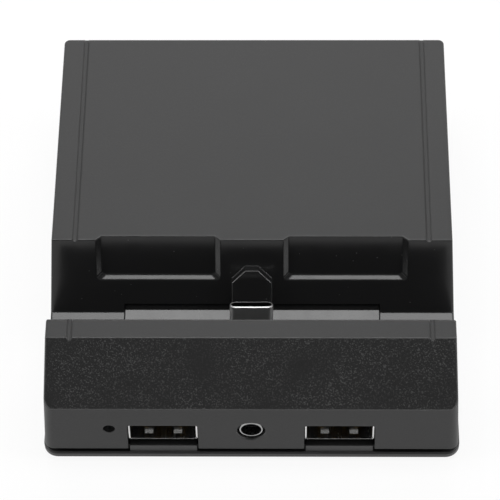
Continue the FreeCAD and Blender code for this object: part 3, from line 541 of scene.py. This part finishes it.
class DOCK_OT_sockets(bpy.types.Operator):
    """Finish the plug, the sockets, the jack and the status light"""
    bl_idname = "dock.sockets"
    bl_label = "Finish Sockets"

    def execute(self, context):
        metal = props().metal
        plated = sheet_metal("socket_plate", metal.steel, 0.24, (1.0, 0.12, 1.0))
        dress(plated, "data_shell_left", "data_shell_right", "video_shell", "power_shell")
        plug = sheet_metal("plug_stainless", metal.stainless, 0.42, (0.15, 1.0, 1.0),
                           lambda finish: plug_mouth_shade(finish, props().moulding))
        dress(plug, "plug_shell")
        dress(sheet_metal("jack_ring_plate", metal.ring, 0.26, (1.0, 0.2, 1.0)), "audio_jack_ring")
        gold = sheet_metal("contact_gold", metal.gold, 0.22, (1.0, 0.2, 1.0))
        dress(gold, "plug_contacts", "data_contacts_left", "data_contacts_right", "video_contacts")
        nylon = nylon_finish()
        dress(nylon, "plug_core", "data_tongue_left", "data_tongue_right", "video_tongue", "power_tongue")
        dress(nylon, "audio_jack_body", "cable_socket_upper", "cable_socket_lower")
        dress(light_finish(), "light_pipe", "status_light")
        return {"FINISHED"}


class DOCK_OT_inside(bpy.types.Operator):
    """Finish the boards, the parts on them and the flat cable"""
    bl_idname = "dock.inside"
    bl_label = "Finish Inside"

    def execute(self, context):
        dress(board_finish(), "main_board", "plug_board")
        dress(epoxy_finish(), "video_chip", "hub_chip", "power_chip", "power_coils")
        dress(sheet_metal("can_aluminium", (0.62, 0.62, 0.63), 0.35, (1.0, 1.0, 0.1)), "power_capacitors")
        dress(film_finish(), "flat_cable")
        return {"FINISHED"}


SCREW_LENGTHS = ("Head Radius", "Head Height", "Shank Radius", "Shank Length", "Thread Pitch",
                 "Thread Depth", "Recess Width", "Recess Reach", "Recess Depth")
# Sides round a shank and rings in one turn of its thread
SHANK_SIDES, THREAD_RINGS = 20, 8.0
# How far the crown and the point are pulled in, and how far the shank bites into the head
CROWN_SHARE, POINT_SHARE, BITE_SHARE = 0.14, 0.55, 0.1


def screw_tree():
    """Screws on the given points: crowned head with a cross recess there, threaded shank behind it."""
    tree = bpy.data.node_groups.new("screw_set", "GeometryNodeTree")

    def socket(name, kind, subtype=None, side="INPUT"):
        made = tree.interface.new_socket(name, in_out=side, socket_type="NodeSocket" + kind)
        if subtype:
            made.subtype = subtype

    socket("Geometry", "Geometry")
    for name in SCREW_LENGTHS:
        socket(name, "Float", "DISTANCE")
    socket("Segments", "Int")
    socket("Turn", "Vector", "EULER")
    socket("Material", "Material")
    socket("Geometry", "Geometry", side="OUTPUT")
    size = put(tree, "NodeGroupInput").outputs
    position = put(tree, "GeometryNodeInputPosition").outputs[0]
    at = put(tree, "ShaderNodeSeparateXYZ", {0: position}).outputs

    def vector(x=0.0, y=0.0, z=0.0):
        return put(tree, "ShaderNodeCombineXYZ", {0: x, 1: y, 2: z}).outputs[0]

    def cylinder(sides, rings, radius, depth):
        sockets = {"Vertices": sides, "Side Segments": rings, "Radius": radius, "Depth": depth}
        return put(tree, "GeometryNodeMeshCylinder", sockets).outputs["Mesh"]

    def pulled_in(shape, share):
        by = times(tree, share, -1.0)
        offset = vector(times(tree, at["X"], by), times(tree, at["Y"], by))
        return put(tree, "GeometryNodeSetPosition", {"Geometry": shape, "Offset": offset}).outputs[0]

    def raised(shape, z):
        sockets = {"Geometry": shape, "Translation": vector(z=z)}
        return put(tree, "GeometryNodeTransform", sockets).outputs[0]

    def combined(operation, first, *others):
        made = put(tree, "GeometryNodeMeshBoolean", operation=operation)
        if first is not None:
            tree.links.new(first, made.inputs["Mesh 1"])
        for other in others:
            tree.links.new(other, made.inputs["Mesh 2"])
        return made.outputs["Mesh"]

    tall, long = size["Head Height"], size["Shank Length"]
    head = cylinder(size["Segments"], 6, size["Head Radius"], tall)
    rise = maths(tree, "ADD", maths(tree, "DIVIDE", at["Z"], tall), 0.5)
    crowned = pulled_in(head, times(tree, maths(tree, "POWER", rise, 5.0), CROWN_SHARE))
    head = raised(crowned, times(tree, tall, -0.5))

    radius, pitch = size["Shank Radius"], size["Thread Pitch"]
    bite = times(tree, tall, BITE_SHARE)
    depth = maths(tree, "ADD", long, bite)
    rings = times(tree, maths(tree, "DIVIDE", long, pitch), THREAD_RINGS)
    shank = cylinder(SHANK_SIDES, rings, radius, depth)
    turned = maths(tree, "DIVIDE", maths(tree, "ARCTAN2", at["Y"], at["X"]), 2 * math.pi)
    phase = maths(tree, "FRACT", maths(tree, "ADD", maths(tree, "DIVIDE", at["Z"], pitch), turned))
    ridge = maths(tree, "ABSOLUTE", maths(tree, "SUBTRACT", times(tree, phase, 2.0), 1.0))
    cut = times(tree, ridge, maths(tree, "DIVIDE", size["Thread Depth"], radius))
    end = times(tree, depth, -0.5)
    point = times(tree, step(tree, at["Z"], maths(tree, "ADD", end, radius), end), POINT_SHARE)
    shank = pulled_in(shank, maths(tree, "MAXIMUM", cut, point))
    middle = maths(tree, "SUBTRACT", times(tree, bite, 0.5), times(tree, long, 0.5))
    shank = raised(shank, maths(tree, "SUBTRACT", middle, tall))

    reach, arm = size["Recess Reach"], size["Recess Width"]
    deep = times(tree, size["Recess Depth"], 2.0)
    first = put(tree, "GeometryNodeMeshCube", {"Size": vector(reach, arm, deep)}).outputs["Mesh"]
    second = put(tree, "GeometryNodeMeshCube", {"Size": vector(arm, reach, deep)}).outputs["Mesh"]
    screw = combined("DIFFERENCE", combined("UNION", None, head, shank), first, second)

    sockets = {"Points": size["Geometry"], "Instance": screw, "Rotation": size["Turn"]}
    placed = put(tree, "GeometryNodeInstanceOnPoints", sockets).outputs[0]
    real = put(tree, "GeometryNodeRealizeInstances", {"Geometry": placed}).outputs[0]
    sockets = {"Geometry": real, "Material": size["Material"]}
    finished = put(tree, "GeometryNodeSetMaterial", sockets).outputs[0]
    tree.links.new(finished, put(tree, "NodeGroupOutput").inputs["Geometry"])
    return tree


def grow(name, tree, points, values):
    """Runs a tree on the points and keeps the result as a plain mesh."""
    seeds = bpy.data.meshes.new(name + "_points")
    seeds.from_pydata([tuple(point) for point in points], [], [])
    made = add_object(name, seeds)
    modifier = made.modifiers.new("grow", "NODES")
    modifier.node_group = tree
    for item in tree.interface.items_tree:
        if item.in_out == "INPUT" and item.name in values:
            modifier[item.identifier] = values[item.name]
    graph = bpy.context.evaluated_depsgraph_get()
    mesh = bpy.data.meshes.new_from_object(made.evaluated_get(graph))
    made.modifiers.clear()
    made.data = mesh
    mesh.polygons.foreach_set("use_smooth", [True] * len(mesh.polygons))
    mesh.set_sharp_from_angle(angle=SHARP_ANGLE)
    return made


class DOCK_OT_screws(bpy.types.Operator):
    """Make the case screws and the board screws, and finish the bed screws"""
    bl_idname = "dock.screws"
    bl_label = "Make Screws"

    def execute(self, context):
        kind = props().screws
        tree = screw_tree()
        zinc = sheet_metal("screw_zinc", props().metal.zinc, 0.38, (1.0, 1.0, 0.2))
        low, high = corners("case_screws")
        r = kind.case_head
        points = [(x, y, low.z) for x in (low.x + r, high.x - r) for y in (low.y + r, high.y - r)]
        sizes = self.sizes(kind, zinc, r, kind.case_tall, high.z - low.z, (math.pi, 0.0, 0.0))
        self.fasten(grow("case_screw_set", tree, points, sizes), "case_screws")
        low, high = corners("board_screws")
        r = kind.board_head
        points = [(x, low.y + r, high.z) for x in (-kind.board_front, kind.board_front)]
        points += [(x, high.y - r, high.z) for x in (low.x + r, high.x - r)]
        sizes = self.sizes(kind, zinc, r, kind.board_tall, high.z - low.z, (0.0, 0.0, 0.0))
        self.fasten(grow("board_screw_set", tree, points, sizes), "board_screws")
        dress(zinc, "bed_screws")
        return {"FINISHED"}

    def sizes(self, kind, material, radius, tall, whole, turn):
        lengths = (radius, tall, kind.shank, whole - tall, kind.pitch, kind.thread, kind.recess,
                   kind.reach, kind.deep)
        values = dict(zip(SCREW_LENGTHS, lengths))
        values.update({"Segments": kind.segments, "Turn": turn, "Material": material})
        return values

    def fasten(self, made, node):
        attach(made, "root")
        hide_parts(node)


class DOCK_OT_stage(bpy.types.Operator):
    """Set the floor, the soft boxes, the sky and the camera"""
    bl_idname = "dock.stage"
    bl_label = "Set Stage"

    def execute(self, context):
        setup = props().stage
        scene = context.scene
        scene.view_settings.view_transform = "Standard"
        self.floor()
        self.sky(scene, setup)
        self.lamps(setup)
        self.camera(scene, setup)
        return {"FINISHED"}

    def floor(self):
        mesh = bpy.data.meshes.new("studio_floor")
        shape = bmesh.new()
        bmesh.ops.create_grid(shape, x_segments=2, y_segments=2, size=FLOOR_HALF)
        shape.to_mesh(mesh)
        shape.free()
        finish = Finish("floor_paper")
        tree = finish.tree
        paper = blend_colours(tree, finish.noise(0.02), grey(0.86), grey(0.88))
        finish.set(base_color=paper, roughness=0.9)
        glow = put(tree, "ShaderNodeEmission", {"Color": grey(1.0), "Strength": 1.0}).outputs[0]
        sockets = {0: times(tree, shown(tree), FLOOR_WHITE), 1: finish.shader.outputs[0], 2: glow}
        mixed = put(tree, "ShaderNodeMixShader", sockets).outputs[0]
        tree.links.new(mixed, tree.nodes["Material Output"].inputs["Surface"])
        mesh.materials.append(finish.material)
        return add_object("studio_floor", mesh)

    def sky(self, scene, setup):
        world = bpy.data.worlds.new("studio_sky")
        scene.world = world
        world.use_nodes = True
        tree = world.node_tree
        way = put(tree, "ShaderNodeTexCoord").outputs["Generated"]
        height = put(tree, "ShaderNodeSeparateXYZ", {0: way}).outputs["Z"]
        low = math.sin(setup.horizon)
        white = times(tree, shown(tree), step(tree, height, 2 * low, low))
        tint = blend_colours(tree, white, grey(setup.sky), grey(1.0))
        tree.links.new(tint, tree.nodes["Background"].inputs["Color"])

    def soft_box(self, name, power, wide, deep, middle):
        lamp = bpy.data.lights.new(name, "AREA")
        lamp.shape = "RECTANGLE"
        lamp.size, lamp.size_y = wide, deep
        lamp.energy = power
        made = add_object(name, lamp)
        made.location = middle
        made.rotation_mode = "QUATERNION"
        made.rotation_quaternion = (-made.location).to_track_quat("-Z", "Y")

    def lamps(self, setup):
        self.soft_box("back_box", setup.back_light, setup.back_wide, setup.back_deep, setup.back_place)
        self.soft_box("top_strip", setup.top_light, setup.top_wide, setup.top_deep, setup.top_place)
        x, y, z = setup.side_place
        for name, at in (("left_box", (-x, y, z)), ("right_box", (x, y, z))):
            self.soft_box(name, setup.side_light, setup.side_wide, setup.side_deep, at)

    def camera(self, scene, setup):
        data = bpy.data.cameras.new("photo_camera")
        data.sensor_width = 36.0
        data.lens = setup.lens
        data.clip_start, data.clip_end = 0.01, 20.0
        made = add_object("photo_camera", data)
        e, a = setup.elevation, setup.azimuth
        back = Vector((math.sin(a) * math.cos(e), -math.cos(a) * math.cos(e), math.sin(e)))
        made.location = Vector(setup.aim) + back * setup.distance
        made.rotation_mode = "QUATERNION"
        made.rotation_quaternion = (-back).to_track_quat("-Z", "Y") @ Quaternion((0, 0, 1), setup.roll)
        scene.camera = made


class DockSettings(bpy.types.PropertyGroup):
    moulding: PointerProperty(type=DockMoulding)
    metal: PointerProperty(type=DockMetal)
    screws: PointerProperty(type=DockScrews)
    stage: PointerProperty(type=DockStage)


OPERATORS = (DOCK_OT_covers, DOCK_OT_sockets, DOCK_OT_inside, DOCK_OT_screws, DOCK_OT_stage)


class DOCK_PT_finish(bpy.types.Panel):
    """Lists the dock's finishing steps"""
    bl_idname = "DOCK_PT_finish"
    bl_label = "Console Dock"
    bl_space_type = "VIEW_3D"
    bl_region_type = "UI"
    bl_category = "Dock"

    def draw(self, context):
        for kind in OPERATORS:
            self.layout.operator(kind.bl_idname)


CLASSES = (DockMoulding, DockMetal, DockScrews, DockStage, DockSettings) + OPERATORS + (DOCK_PT_finish,)


def register():
    for kind in CLASSES:
        bpy.utils.register_class(kind)
    bpy.types.Scene.dock = PointerProperty(type=DockSettings)


def unregister():
    del bpy.types.Scene.dock
    for kind in reversed(CLASSES):
        bpy.utils.unregister_class(kind)


def main():
    register()
    bpy.ops.dock.covers()
    bpy.ops.dock.sockets()
    bpy.ops.dock.inside()
    bpy.ops.dock.screws()
    bpy.ops.dock.stage()


if __name__ == "__main__":
    main()
